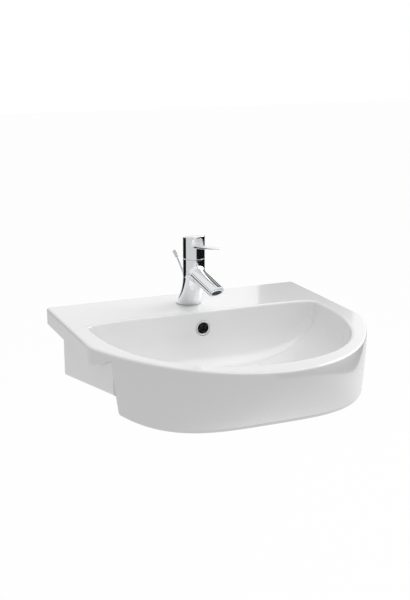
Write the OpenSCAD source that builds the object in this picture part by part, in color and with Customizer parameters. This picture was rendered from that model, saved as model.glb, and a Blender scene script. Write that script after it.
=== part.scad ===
// Wall-hung washbasin with a D-shaped front, a mono mixer tap and a pop-up waste.
// The wall is the plane y = 0, the front is towards -y, and the origin lies midway between the wall studs.

/* [Basin] */
// Width of the rear deck
basin_w = 550; // [520:5:600]
// Distance from the wall to the front of the rim
basin_p = 540; // [520:5:560]
// Half width of the ellipse that the front rim follows
rim_half = 317; // [310:1:330]
// Distance from the wall to the centre of that ellipse
rim_centre = 43; // [30:1:60]
// Thickness of the slab that carries the deck and the rim
slab_t = 34; // [28:1:40]
// Radius that softens the slab's edges
edge_r = 4; // [2:0.5:6]
// Height of the deck above the wall studs
deck_z = 95; // [85:1:105]

/* [Rear body] */
// Distance of the rear body's side from the slab's side
body_inset = 25; // [20:1:35]
// Depth of the rear body at the wall, below the deck
body_rear_d = 142; // [136:1:160]
// Depth of the rear body where it meets the skirt
body_front_d = 76; // [70:1:90]
// Radius of the rear body's upright corners
body_corner_r = 36; // [20:1:50]
// Distance from the wall to the back of the front skirt
step_p = 343; // [335:1:350]

/* [Front skirt] */
// Depth of the skirt's underside below the deck
skirt_d = 125; // [118:1:140]
// Half width of the skirt's underside outline
skirt_half = 268; // [250:1:272]
// Distance from the wall to the front of the skirt's underside
skirt_p = 463; // [450:1:480]
// Squareness of the skirt's underside outline
skirt_n = 3.6; // [2.8:0.1:6]
// Depth of the rim's lip, below which the skirt draws in
skirt_top_d = 12; // [10:1:20]
// Curvature of the skirt's face, straight at 1
skirt_curve = 1.5; // [1:0.1:2.5]
// Thickness of the skirt's wall
skirt_wall = 14; // [12:1:18]
// Fall of the skirt's lower edge towards the front, in degrees
skirt_fall = 6; // [0:0.5:8]
// Radius of the skirt's lower corner at the step
step_round = 13; // [4:1:16]
// Thickness of the rim over the hollow underside
rim_t = 24; // [22:1:30]

/* [Bowl] */
// Half width of the bowl at the rim
bowl_half = 241; // [230:1:244]
// Distance from the wall to the front of the bowl
bowl_p = 494; // [480:1:500]
// Distance from the wall to the bowl's straight back
bowl_back = 150; // [145:1:160]
// Distance from the wall to the widest line of the bowl
bowl_wide = 189; // [180:1:200]
// Depth of the bowl at the waste
bowl_d = 112; // [100:1:118]
// Wall of the bowl's own shell
bowl_wall = 12; // [10:0.5:14]
// Distance from the wall to the waste
waste_p = 225; // [218:1:235]
// Steepness of the bowl's sides
bowl_n = 2.6; // [2.2:0.1:3.2]

/* [Openings in the ceramic] */
// Thickness of the deck over the rear pocket
deck_t = 15; // [12:1:18]
// Thickness of the wall that stands against the wall
back_t = 16; // [14:1:20]
// Distance from the wall to the front of the rear pocket
pocket_p = 122; // [116:1:126]
// Diameter of the tap hole
tap_hole_dia = 35; // [33:0.5:36]
// Diameter of the waste hole
waste_hole_dia = 46; // [44:0.5:48]
// Distance between the two wall studs
stud_span = 280; // [180:10:300]
// Diameter of the holes for the wall studs
stud_hole_dia = 13; // [11:0.5:14]
// Depth of the overflow hole's centre
overflow_d = 34; // [30:1:40]
// Diameter of the overflow hole in the ceramic
overflow_dia = 24; // [22:0.5:26]
// Diameter of the overflow channel
channel_dia = 12; // [10:0.5:14]

/* [Tap] */
// Distance from the wall to the tap hole
tap_p = 77; // [72:1:85]
// Forward offset of the tap's upright body from its foot
tap_lean = 28; // [20:1:32]
// Diameter of the tap's body
tap_dia = 44; // [43:0.5:48]
// Diameter of the tap's foot
foot_dia = 52; // [50:0.5:56]
// Height of the foot's curve
foot_h = 62; // [50:1:64]
// Height of the joint between the body and the handle
split_h = 98; // [96:1:102]
// Height of the top of the handle
cap_top_h = 142; // [134:1:148]
// Diameter of the cartridge
cartridge_dia = 35; // [34:0.2:35.6]
// Gap between the body and the handle
split_gap = 0.6; // [0.4:0.1:1]

/* [Spout and lever] */
// Diameter of the spout
spout_dia = 29; // [26:0.5:30]
// Bore of the spout
spout_bore = 20; // [18:0.5:21]
// Height of the spout's centre line at the tap's axis
spout_h = 72; // [70:1:76]
// Reach of the spout from the tap's axis
spout_reach = 112; // [100:1:120]
// Fall of the spout below level
spout_fall = 9; // [5:0.5:15]
// Lean of the outlet's face from level
outlet_lean = 40; // [30:1:50]
// Diameter of the aerator's housing
aerator_dia = 24; // [23:0.2:25]
// Reach of the lever from the tap's axis
lever_reach = 116; // [110:1:130]
// Width of the lever at the handle
lever_root_w = 22; // [18:0.5:26]
// Width of the lever at its tip
lever_tip_w = 15; // [10:0.5:18]
// Rise of the lever above level
lever_rise = 8; // [4:0.5:12]
// Height of the lever's upper face at the tap's axis
lever_h = 124; // [118:0.5:128]
// Angle through which the lever lifts
lift_angle = 18; // [12:1:20]

/* [Pop-up waste] */
// Diameter of the waste's threaded tail
tail_dia = 41.9; // [40:0.1:42.5]
// Length of the waste below its seat
waste_len = 90; // [86:1:96]
// Depth of the pivot below the waste's seat
pivot_drop = 53; // [50:1:56]
// Diameter of the pivot's ball
ball_dia = 14; // [13:0.5:15]
// Diameter of the lift rod and of the pivot rod
rod_dia = 5; // [4:0.1:5.5]
// Upward travel of the lift rod
rod_travel = 36; // [24:1:38]
// Sideways place of the lift rod in the tap hole
rod_x = -4; // [-6:0.5:-3]
// Distance of the lift rod behind the tap hole's centre
rod_back = 14; // [13:0.5:14.5]
// Diameter of the lift rod's knob
knob_dia = 10; // [8:0.5:12]
// Length of the lift rod's knob
knob_len = 16; // [12:1:20]
// Diameter of the waste's visible flange
flange_dia = 63; // [60:1:66]

/* [Hidden] */
$fn = 64;

// Clearances that the fits share
run_gap = 0.05;
free_gap = 0.3;
join = 0.01;

// Places worked out from the sizes above
half_w = basin_w / 2;
body_half = half_w - body_inset;
tap_y = -tap_p;
axis_y = tap_y - tap_lean;
waste_y = -waste_p;
tap_r = tap_dia / 2;
rod_r = rod_dia / 2;
rod_y = tap_y + rod_back;
gasket_t = 1.5;
front_span = basin_p - rim_centre;
arc_steps = 40;
corner_steps = 3;
bowl_steps = 48;
bowl_rings = 9;
skirt_rings = 9;
hollow_rings = 5;

// Waste levels, measured down from the deck
boss_t = 26;
boss_wall = 16;
boss_r = waste_hole_dia / 2 + boss_wall;
channel_w = channel_dia + 16;
overflow_y = -bowl_back;
channel_y = -pocket_p - channel_dia / 2 + 6;
channel_floor = bowl_d + boss_t / 2;
seat_d = bowl_d;
seal_t = 1.5;
flange_t = 2.5;
boss_d = bowl_d + boss_t;
washer_t = 5;
backnut_t = 8;
pivot_d = seat_d + pivot_drop;
ball_out = 27;
ball_y = waste_y + ball_out;
strap_t = 2;
strap_y = rod_y + rod_r + 1;
pivot_arm = strap_y + strap_t / 2 - ball_y;
pivot_rest = asin(rod_travel / 2 / pivot_arm);
plug_travel = rod_travel * ball_out / pivot_arm;
waste_bore_r = 17.5;
waste_upper_r = 20.5;
eye_d = pivot_d - ball_out * tan(pivot_rest);
tail_free = 22;

// Cartridge levels, measured up from the deck
cartridge_r = cartridge_dia / 2;
chamber_floor = split_h - 38;
pivot_h = split_h - 8;
neck_h = split_h - 12;
neck_top = split_h - 4;
carrier_r = 9.5;
carrier_foot = pivot_h - 6.5;
stem_w = 7;
stem_foot = pivot_h - 12;
stem_top = pivot_h + 27;
dome_r = 19;

// Upper bend of the lift rod
bend_h = 58;
rod_lean = [-9, 13, 32];
rod_lean_len = norm(rod_lean);

ceramic = [0.96, 0.96, 0.95];
bright = [0.80, 0.81, 0.83];
dark = [0.15, 0.15, 0.16];
rubber_black = [0.10, 0.10, 0.10];
brass_tone = [0.80, 0.66, 0.35];
white_plastic = [0.90, 0.90, 0.88];

// Puts a piece drawn with the deck at z = 0 into the part's own frame
module on_deck() {
    translate([0, 0, deck_z]) children();
}

// Solid through a list of rings, lowest ring first, each ring anticlockwise seen from above
module skin(rings) {
    n = len(rings[0]);
    m = len(rings);
    points = [for (ring = rings) for (p = ring) p];
    low = [for (j = [0 : n - 1]) j];
    high = [for (j = [0 : n - 1]) (m - 1) * n + n - 1 - j];
    sides = [for (i = [0 : m - 2]) for (j = [0 : n - 1]) let (k = (j + 1) % n)
        for (t = [[i * n + j, i * n + n + j, i * n + n + k], [i * n + j, i * n + n + k, i * n + k]]) t];
    polyhedron(points = points, faces = concat([low], sides, [high]));
}

// Slab outline drawn in by a distance: the front ellipse, then the two rear corners
function slab_outline(inset) = let (
    a = rim_half - inset,
    b = front_span - inset,
    w = half_w - inset,
    turn = asin(w / a),
    r = edge_r + 2)
    concat(
        [for (i = [0 : arc_steps]) let (t = turn * (2 * i / arc_steps - 1))
            [a * sin(t), -rim_centre - b * cos(t)]],
        [for (i = [0 : corner_steps]) let (t = 90 * i / corner_steps)
            [w - r + r * cos(t), -inset - r + r * sin(t)]],
        [for (i = [0 : corner_steps]) let (t = 90 + 90 * i / corner_steps)
            [-w + r + r * cos(t), -inset - r + r * sin(t)]]);

function lift(outline, z) = [for (p = outline) [p[0], p[1], z]];

// Point of a squared ellipse between the two ends that it has on the skirt's rear plane
function power(v, n) = pow(max(v, 0), n);
function arc_point(share, a, b, n) = let (
    turn = acos(power((step_p - rim_centre) / b, n / 2)),
    t = turn * share)
    [a * sign(t) * power(abs(sin(t)), 2 / n), -rim_centre - b * power(cos(t), 2 / n)];

// Front skirt outline at a share of the way from the rim's ellipse to the underside's squarer curve
function skirt_outline(g, inset) = [for (i = [0 : arc_steps]) let (
    share = 2 * i / arc_steps - 1,
    high = arc_point(share, rim_half - inset, front_span - inset, 2),
    low = arc_point(share, skirt_half - inset, skirt_p - rim_centre - inset, skirt_n))
    high + (low - high) * g];

// Bowl outline at the rim, grown outwards by a wall
function bowl_point(t, grow) = let (
    a = bowl_half + grow,
    b = bowl_p - bowl_wide + grow,
    n = 2.25,
    back = bowl_wide - bowl_back + grow,
    nb = 5,
    s = sin(t),
    c = cos(t))
    c <= 0
        ? [a * sign(s) * power(abs(s), 2 / n), -bowl_wide - b * power(-c, 2 / n)]
        : [a * sign(s) * power(abs(s), 2 / nb), -bowl_wide + back * power(c, 2 / nb)];
function bowl_ring(depth, grow) = let (
    share = min(depth / (bowl_d + grow), 1),
    f = max(power(1 - power(share, bowl_n), 1 / bowl_n), 0.12))
    [for (i = [0 : bowl_steps - 1]) let (
        t = -360 * i / bowl_steps + 180,
        p = bowl_point(t, grow))
        [p[0] * f, waste_y + (p[1] - waste_y) * f, -depth]];

// Bowl form from its floor up to a height, with the wall added when it is the outer shell
module bowl_form(grow, top) {
    skin(concat(
        [for (i = [0 : bowl_rings - 1]) let (t = 90 * (1 - i / bowl_rings))
            bowl_ring((bowl_d + grow) * power(sin(t), 2 / bowl_n), grow)],
        [lift([for (p = bowl_ring(0, grow)) [p[0], p[1]]], top)]));
}

// Rim and deck: a lip all round, and the full slab behind the skirt
module slab() {
    soft = edge_r * 0.3;
    skin([
        lift(slab_outline(0), -skirt_top_d),
        lift(slab_outline(0), -edge_r),
        lift(slab_outline(soft), -soft),
        lift(slab_outline(edge_r), 0)]);
    intersection() {
        skin([
            lift(slab_outline(soft), -slab_t),
            lift(slab_outline(0), -slab_t + soft),
            lift(slab_outline(0), -edge_r)]);
        translate([-half_w - 1, -step_p - 1, -slab_t - 1])
            cube([2 * half_w + 2, step_p + 2, slab_t + 1]);
    }
}

// Skirt between its rounded lower edge and the lip
round_h = 6;
round_in = 3;
skirt_face_d = skirt_d - round_h - skirt_top_d;
step_z = -skirt_d + tan(skirt_fall) * (skirt_p - step_p);
function slope(outline, z, s) = [for (p = outline) [p[0], p[1], z + s * tan(skirt_fall) * (p[1] + skirt_p)]];
function skirt_level(s, inset) =
    slope(skirt_outline(power(s, skirt_curve), inset), -skirt_top_d - skirt_face_d * s, s);

module skirt() {
    difference() {
        skin(concat(
            [slope(skirt_outline(1, round_in * 2), -skirt_d, 1),
                slope(skirt_outline(1, round_in * 0.5), -skirt_d + round_h * 0.4, 1)],
            [for (i = [0 : skirt_rings - 1]) skirt_level(1 - i / skirt_rings, 0)],
            [lift(skirt_outline(0, 2), -edge_r)]));
        step_corner(min(step_round, skirt_wall - 1));
    }
}

// What the rounding at the step takes off the skirt's lower corner
module step_corner(r) {
    mid_z = step_z + r * (1 - sin(skirt_fall)) / cos(skirt_fall);
    foot_y = -step_p - r + r * sin(skirt_fall);
    difference() {
        rotate([90, 0, 90])
            translate([0, 0, -half_w])
                linear_extrude(2 * half_w)
                    polygon([[-step_p - r, mid_z], [-step_p + 1, mid_z], [-step_p + 1, -skirt_d - 1],
                        [foot_y, -skirt_d - 1], [foot_y, mid_z - r * cos(skirt_fall)]]);
        translate([-half_w - 1, -step_p - r, mid_z])
            rotate([0, 90, 0])
                cylinder(h = 2 * half_w + 2, r = r);
    }
}

// Space inside the skirt, in front of the web at the step
module skirt_hollow() {
    top_share = (rim_t - skirt_top_d) / skirt_face_d;
    intersection() {
        skin(concat(
            [slope(skirt_outline(1, skirt_wall), -skirt_d - 1, 1)],
            [for (i = [0 : hollow_rings]) skirt_level(1 - (1 - top_share) * i / hollow_rings, skirt_wall)]));
        translate([-half_w, -basin_p, -skirt_d - 2])
            cube([2 * half_w, basin_p - step_p - skirt_wall, skirt_d]);
    }
}

// Rear body under the deck: upright sides with round rear corners and an underside that rises to the front
module rear_body() {
    intersection() {
        rotate([90, 0, 90])
            translate([0, 0, -body_half])
                linear_extrude(2 * body_half)
                    polygon([[0, -slab_t / 2], [0, -body_rear_d], [-step_p - 1, -body_front_d],
                        [-step_p - 1, -slab_t / 2]]);
        union() {
            translate([-body_half + body_corner_r, -step_p - 20, -body_rear_d - 1])
                cube([2 * (body_half - body_corner_r), step_p + 20, body_rear_d]);
            translate([-body_half, -step_p - 20, -body_rear_d - 1])
                cube([2 * body_half, step_p + 20 - body_corner_r, body_rear_d]);
            for (side = [-1, 1])
                translate([side * (body_half - body_corner_r), -body_corner_r, -body_rear_d - 1])
                    cylinder(h = body_rear_d, r = body_corner_r);
        }
    }
}

// Ceramic round the waste and round the overflow channel
module waste_boss() {
    translate([0, waste_y, -boss_d])
        cylinder(h = boss_t, r = boss_r);
    translate([-channel_w / 2, waste_y, -boss_d])
        cube([channel_w, channel_y - waste_y, boss_t + 8]);
    translate([-channel_w / 2, -bowl_back, -boss_d])
        cube([channel_w, channel_y + bowl_back + channel_w / 2, boss_d - deck_t + 1]);
}

module overflow_passage() {
    translate([0, overflow_y - 4, -overflow_d])
        rotate([-90, 0, 0])
            cylinder(h = overflow_y * -1 + channel_y + 4, d = overflow_dia);
    translate([0, channel_y, -channel_floor])
        cylinder(h = channel_floor - overflow_d, d = channel_dia);
    translate([0, waste_y, -channel_floor])
        rotate([-90, 0, 0])
            cylinder(h = channel_y - waste_y, d = channel_dia);
}

// Space under the deck for the tap's fixing and the supply tails, and round the bowl behind the web
module rear_pocket() {
    side = body_half - back_t;
    translate([-side, -pocket_p, -body_rear_d - 2])
        cube([2 * side, pocket_p - back_t, body_rear_d + 2 - deck_t]);
    translate([-side, -step_p, -body_rear_d - 2])
        cube([2 * side, step_p - pocket_p + 1, body_rear_d + 2 - rim_t]);
}

module basin() {
    color(ceramic) on_deck()
        difference() {
            union() {
                difference() {
                    union() {
                        slab();
                        skirt();
                        rear_body();
                    }
                    rear_pocket();
                    skirt_hollow();
                }
                bowl_form(bowl_wall, -slab_t / 2);
                waste_boss();
            }
            bowl_form(0, 1);
            overflow_passage();
            translate([0, overflow_y - ring_seat, -overflow_d])
                rotate([90, 0, 0])
                    cylinder(h = 12, d = ring_dia + 2 * free_gap);
            translate([0, waste_y, -seat_d])
                cylinder(h = 14, d = flange_dia + 2 * free_gap);
            translate([0, tap_y, -deck_t - 1])
                cylinder(h = deck_t + 2, d = tap_hole_dia);
            translate([0, waste_y, -boss_d - 1])
                cylinder(h = boss_t + 3, d = waste_hole_dia);
            for (side = [-1, 1])
                translate([side * stud_span / 2, 1, -deck_z])
                    rotate([90, 0, 0])
                        cylinder(h = back_t + 2, d = stud_hole_dia);
        }
}

// Chrome ring that lines the overflow hole
ring_dia = 30;
ring_t = 2;
ring_seat = 1;
sleeve_len = 9;
module overflow_ring() {
    bore = overflow_dia - 4;
    color(bright) on_deck()
        translate([0, overflow_y - ring_seat, -overflow_d])
            rotate([90, 0, 0])
                difference() {
                    union() {
                        cylinder(h = ring_t, d = ring_dia);
                        translate([0, 0, -sleeve_len])
                            cylinder(h = sleeve_len + join, d = overflow_dia - 2 * run_gap);
                    }
                    translate([0, 0, -sleeve_len - 1])
                        cylinder(h = sleeve_len + ring_t + 2, d = bore);
                }
}

// Tap
module tap_gasket() {
    color(rubber_black) on_deck()
        translate([0, tap_y, 0])
            difference() {
                cylinder(h = gasket_t, d = foot_dia - 1);
                translate([0, 0, -1])
                    cylinder(h = gasket_t + 2, d = tap_hole_dia);
            }
}

foot_steps = 8;
foot_sides = 42;
foot_overlap = 7;
function foot_ring(h) = let (
    share = max(1 - (h - gasket_t) / (foot_h - gasket_t), 0),
    r = tap_r - 0.2 + (foot_dia - tap_dia) / 2 * share * share,
    y = axis_y + tap_lean * share * share)
    [for (i = [0 : foot_sides - 1]) let (t = 360 * i / foot_sides) [r * cos(t), y + r * sin(t), h]];

inlet_x = 9;
inlet_front = 7;
inlet_dia = 9;
inlet_len = 14;
stud_x = 8;
stud_back = 12;
stud_dia = 6;
stud_grip = 7;
spout_tenon_dia = spout_bore + 2;

module tap_body() {
    color(bright) on_deck()
        difference() {
            union() {
                skin([for (i = [0 : foot_steps])
                    foot_ring(gasket_t + (foot_h + 1 - gasket_t) * i / foot_steps)]);
                translate([0, axis_y, foot_h - foot_overlap])
                    cylinder(h = split_h - foot_h + foot_overlap, d = tap_dia);
            }
            translate([0, axis_y, chamber_floor])
                cylinder(h = split_h, r = cartridge_r + run_gap);
            for (side = [-1, 1])
                translate([side * inlet_x, tap_y - inlet_front, gasket_t - 1])
                    cylinder(h = inlet_len + 1, d = inlet_dia);
            translate([stud_x, tap_y + stud_back, gasket_t - 1])
                cylinder(h = stud_grip + 1, d = stud_dia);
            translate([rod_x, rod_y, gasket_t - 1])
                cylinder(h = bend_h, r = rod_r + run_gap);
            spout_frame()
                cylinder(h = tap_dia, d = spout_tenon_dia);
        }
}

// Frame of the spout: its z axis runs forwards and down from the tap's axis
module spout_frame() {
    translate([0, axis_y, spout_h])
        rotate([90 + spout_fall, 0, 0])
            children();
}

// Frame of the outlet: its z axis points back into the spout
module outlet_frame() {
    translate([0, axis_y - spout_reach * cos(spout_fall), spout_h - spout_reach * sin(spout_fall)])
        rotate([-outlet_lean, 0, 0])
            children();
}

aerator_len = 9;
aerator_proud = 2.5;
module spout() {
    overrun = 30;
    color(bright) on_deck()
        difference() {
            union() {
                difference() {
                    spout_frame()
                        cylinder(h = spout_reach + overrun, d = spout_dia);
                    translate([0, axis_y, 0])
                        cylinder(h = split_h, r = tap_r);
                }
                spout_frame()
                    translate([0, 0, cartridge_r + 1])
                        cylinder(h = tap_r - cartridge_r + 2, d = spout_tenon_dia);
            }
            spout_frame()
                cylinder(h = spout_reach - 8, d = spout_bore);
            outlet_frame()
                translate([-2 * overrun, -2 * overrun, -4 * overrun])
                    cube([4 * overrun, 4 * overrun, 4 * overrun]);
            outlet_frame()
                translate([0, 0, -1])
                    cylinder(h = aerator_len - aerator_proud + 1, d = aerator_dia);
            outlet_frame()
                cylinder(h = spout_dia / 2, d = aerator_dia - 7);
            translate([0, axis_y, chamber_floor - 1])
                cylinder(h = split_h, r = cartridge_r + 1);
        }
}

insert_dia = aerator_dia - 4;
module aerator_housing() {
    color(bright) on_deck()
        outlet_frame()
            translate([0, 0, -aerator_proud])
                difference() {
                    cylinder(h = aerator_len, d = aerator_dia - 2 * run_gap);
                    translate([0, 0, -1])
                        cylinder(h = aerator_len + 2, d = insert_dia);
                }
}

module aerator_insert() {
    slot_w = 1.2;
    slot_pitch = 3;
    color(dark) on_deck()
        outlet_frame()
            translate([0, 0, -aerator_proud + 1])
                difference() {
                    cylinder(h = aerator_len - 2, d = insert_dia - 2 * run_gap);
                    for (k = [-2 : 2])
                        translate([-6, k * slot_pitch - slot_w / 2, -1])
                            cube([12, slot_w, 4]);
                }
}

disc_r = 10.5;
disc_t = 5;
chamber_r = disc_r + 4;
disc_floor = chamber_floor + 8;
disc_top = stem_foot + 1.5;
module cartridge_body() {
    color(white_plastic) on_deck()
        translate([0, axis_y, 0])
            difference() {
                union() {
                    translate([0, 0, chamber_floor])
                        cylinder(h = neck_h - chamber_floor, r = cartridge_r);
                    translate([0, 0, neck_h - join])
                        cylinder(h = neck_top - neck_h, r = carrier_r + 3);
                }
                translate([0, 0, disc_floor])
                    cylinder(h = carrier_foot - disc_floor - 1, r = chamber_r);
                translate([0, 0, carrier_foot - 1 - join])
                    cylinder(h = neck_top, r = carrier_r + run_gap);
            }
}

module disc_fixed() {
    port_x = 5;
    port_back = 3;
    outlet_front = 6;
    fixed_t = disc_top - disc_t - free_gap - disc_floor;
    color(white_plastic) on_deck()
        translate([0, axis_y, disc_floor])
            difference() {
                cylinder(h = fixed_t, r = chamber_r - run_gap);
                for (side = [-1, 1])
                    translate([side * port_x, port_back, -1])
                        cylinder(h = fixed_t + 2, r = 2.4);
                translate([0, -outlet_front, -1])
                    cylinder(h = fixed_t + 2, r = 2.8);
            }
}

module disc_moving() {
    color(white_plastic) on_deck()
        translate([0, axis_y, disc_top - disc_t])
            difference() {
                cylinder(h = disc_t, r = disc_r);
                translate([-stem_w / 2 - free_gap, -stem_w / 2 - 1.5, disc_t - 2.5])
                    cube([stem_w + 2 * free_gap, stem_w + 3, 5]);
                translate([0, 0, -1])
                    cylinder(h = 2.5, r = 4);
            }
}

pin_r = 1.5;
module stem_carrier() {
    slot_half = 6.4;
    color(white_plastic) on_deck()
        translate([0, axis_y, carrier_foot])
            difference() {
                cylinder(h = neck_top - carrier_foot, r = carrier_r);
                translate([-stem_w / 2 - free_gap, -slot_half, -1])
                    cube([stem_w + 2 * free_gap, 2 * slot_half, neck_top - carrier_foot + 2]);
                translate([-carrier_r - 1, 0, pivot_h - carrier_foot])
                    rotate([0, 90, 0])
                        cylinder(h = 2 * carrier_r + 2, r = pin_r + run_gap);
            }
}

module cartridge_stem() {
    color(bright) on_deck()
        translate([0, axis_y, pivot_h]) {
            translate([-stem_w / 2, -stem_w / 2, stem_foot - pivot_h])
                cube([stem_w, stem_w, stem_top - stem_foot]);
            translate([-carrier_r + 0.5, 0, 0])
                rotate([0, 90, 0])
                    cylinder(h = 2 * carrier_r - 1, r = pin_r);
        }
}

nut_top = neck_top - 1;
module cartridge_nut() {
    color(brass_tone) on_deck()
        translate([0, axis_y, neck_h])
            difference() {
                cylinder(h = nut_top - neck_h, r = cartridge_r);
                translate([0, 0, -1])
                    cylinder(h = 20, r = carrier_r + 3 + run_gap);
            }
}

module dome_cover() {
    wall = 2.5;
    opening_r = 12.5;
    color(bright) on_deck()
        translate([0, axis_y, 0])
            difference() {
                intersection() {
                    translate([0, 0, pivot_h])
                        sphere(r = dome_r);
                    translate([0, 0, nut_top])
                        cylinder(h = 30, r = cartridge_r - run_gap);
                }
                translate([0, 0, pivot_h])
                    sphere(r = dome_r - wall);
                translate([0, 0, nut_top - 1])
                    cylinder(h = 40, r = opening_r);
            }
}

// Handle: a round cap with a leaning top, a vault in its front and a thin lever
trough_r = lever_root_w / 2 + 1.5;
trough_sink = 0.5;
vault_h = 3;
cap_room = tap_r * tan(lever_rise) + 1;
cap_h = cap_top_h - split_h - split_gap + cap_room;
lever_t = 6;
lever_tip_t = 2.5;
screw_h = pivot_h + 22;
screw_dia = 5;
// Frame of the lever at a height on the tap's axis: its y axis falls backwards along the lever
module lever_frame(h) {
    translate([0, axis_y, h])
        rotate([-lever_rise, 0, 0])
            children();
}
module lever_blade() {
    lever_frame(lever_h)
        hull() {
            translate([-lever_root_w / 2, -2, -lever_t])
                cube([lever_root_w, 2, lever_t]);
            translate([0, -lever_reach / cos(lever_rise) + lever_tip_w / 2, -lever_tip_t])
                cylinder(h = lever_tip_t, d = lever_tip_w, $fn = 32);
        }
}
// Space over the lever's root: a round vault with a flat floor, open to the front
module vault() {
    intersection() {
        translate([0, 2, vault_h])
            rotate([90, 0, 0])
                cylinder(h = 2 * tap_dia, r = trough_r);
        translate([-tap_dia, -2 * tap_dia, -trough_sink])
            cube([2 * tap_dia, 2 * tap_dia + 3, tap_dia]);
    }
}

module handle() {
    color(bright) on_deck()
        difference() {
            union() {
                difference() {
                    translate([0, axis_y, split_h + split_gap])
                        cylinder(h = cap_h, r = tap_r);
                    lever_frame(cap_top_h)
                        translate([-tap_dia, -tap_dia, 0])
                            cube(2 * tap_dia);
                    lever_frame(lever_h)
                        vault();
                }
                lever_blade();
            }
            translate([0, axis_y, pivot_h])
                sphere(r = dome_r + free_gap + 0.1);
            translate([-stem_w / 2 - run_gap, axis_y - stem_w / 2 - run_gap, pivot_h])
                cube([stem_w + 2 * run_gap, stem_w + 2 * run_gap, stem_top - pivot_h + 0.5]);
            translate([0, axis_y, screw_h])
                rotate([-90, 0, 0])
                    cylinder(h = tap_dia, d = screw_dia);
            translate([-tap_dia, axis_y, split_h])
                rotate([lift_angle + 1, 0, 0])
                    translate([0, 0, -tap_dia + split_gap])
                        cube([2 * tap_dia, 2 * tap_dia, tap_dia]);
        }
}

screw_len = 8;
module grub_screw() {
    color(dark) on_deck()
        translate([0, axis_y + stem_w / 2 + run_gap, screw_h])
            rotate([-90, 0, 0])
                difference() {
                    cylinder(h = screw_len, d = screw_dia);
                    translate([0, 0, screw_len - 3])
                        cylinder(h = 4, d = 2.9, $fn = 6);
                }
}

module indicator_plug() {
    depth = 5;
    color(bright) on_deck()
        translate([0, axis_y + tap_r - depth, screw_h])
            rotate([-90, 0, 0])
                cylinder(h = depth - 0.3, d = screw_dia);
}

// Under-deck fixing of the tap
shoe_gasket_t = 3;
shoe_t = 2.5;
shoe_r = 25;
fix_nut_t = 7;
stud_len = 48;
module fixing_stud() {
    color(brass_tone) on_deck()
        translate([stud_x, tap_y + stud_back, gasket_t + stud_grip - stud_len - stud_grip])
            cylinder(h = stud_len + stud_grip, d = stud_dia);
}

module horseshoe(t) {
    difference() {
        cylinder(h = t, r = shoe_r);
        translate([0, -inlet_front, -1])
            cylinder(h = t + 2, r = inlet_x + 6);
        translate([-inlet_x - 6, -2 * shoe_r - inlet_front, -1])
            cube([2 * (inlet_x + 6), 2 * shoe_r, t + 2]);
        translate([rod_x, rod_back, -1])
            cylinder(h = t + 2, r = rod_r + 2);
        translate([stud_x, stud_back, -1])
            cylinder(h = t + 2, d = stud_dia + 2 * run_gap);
    }
}

module horseshoe_gasket() {
    color(rubber_black) on_deck()
        translate([0, tap_y, -deck_t - shoe_gasket_t])
            horseshoe(shoe_gasket_t);
}

module horseshoe_washer() {
    color(bright) on_deck()
        translate([0, tap_y, -deck_t - shoe_gasket_t - shoe_t])
            horseshoe(shoe_t);
}

module fixing_nut() {
    color(brass_tone) on_deck()
        translate([stud_x, tap_y + stud_back, -deck_t - shoe_gasket_t - shoe_t - fix_nut_t])
            difference() {
                cylinder(h = fix_nut_t, d = 11.5, $fn = 6);
                translate([0, 0, -1])
                    cylinder(h = fix_nut_t + 2, d = stud_dia);
            }
}

// Lift rod, its knob and the strap that joins it to the pivot rod
rod_foot = -118;
clamp_h = 14;
module rod_lean_frame() {
    translate([rod_x, rod_y, bend_h])
        rotate([0, acos(rod_lean[2] / rod_lean_len), atan2(rod_lean[1], rod_lean[0])])
            children();
}

module lift_rod() {
    color(bright) on_deck() {
        translate([rod_x, rod_y, rod_foot])
            cylinder(h = bend_h - rod_foot, r = rod_r);
        translate([rod_x, rod_y, bend_h])
            sphere(r = rod_r + run_gap);
        rod_lean_frame()
            cylinder(h = rod_lean_len + 6, r = rod_r);
    }
}

module lift_knob() {
    color(bright) on_deck()
        rod_lean_frame()
            translate([0, 0, rod_lean_len])
                difference() {
                    rotate_extrude()
                        polygon([[0, 0], [knob_dia * 0.32, 0], [knob_dia * 0.42, 1.5], [knob_dia * 0.42, 4],
                            [knob_dia * 0.36, 4.8], [knob_dia * 0.44, 5.6], [knob_dia / 2, knob_len - 2],
                            [knob_dia / 2 - 1, knob_len - 0.4], [0, knob_len]]);
                    translate([0, 0, -1])
                        cylinder(h = 7 + run_gap, r = rod_r);
                }
}

clamp_w = 12;
strap_w = 14;
strap_top = rod_foot + clamp_h;
strap_foot = -pivot_d - pivot_arm * tan(pivot_rest) - 10;
module clevis_strap() {
    color(bright) on_deck()
        difference() {
            union() {
                translate([rod_x - clamp_w / 2, rod_y - clamp_w / 2, rod_foot])
                    cube([clamp_w, strap_y - rod_y + clamp_w / 2, clamp_h]);
                translate([-strap_w / 2, strap_y - join, strap_foot])
                    cube([strap_w, strap_t, strap_top - strap_foot]);
            }
            translate([rod_x, rod_y, rod_foot - 1])
                cylinder(h = clamp_h + 2, r = rod_r);
            translate([rod_x, rod_y, rod_foot + clamp_h / 2])
                rotate([90, 0, 0])
                    cylinder(h = clamp_w, r = 2);
            for (k = [0 : 2])
                translate([0, strap_y - 1, -pivot_d - pivot_arm * tan(pivot_rest) + 14 * k])
                    rotate([-90, 0, 0])
                        cylinder(h = strap_t + 2, r = rod_r + 1.5);
        }
}

module clevis_screw() {
    color(bright) on_deck()
        translate([rod_x, rod_y - rod_r, rod_foot + clamp_h / 2])
            rotate([90, 0, 0]) {
                cylinder(h = clamp_w / 2 + 2, r = 2);
                translate([0, 0, clamp_w / 2 - rod_r + 1])
                    cylinder(h = 6, r = 5.5);
            }
}

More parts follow.
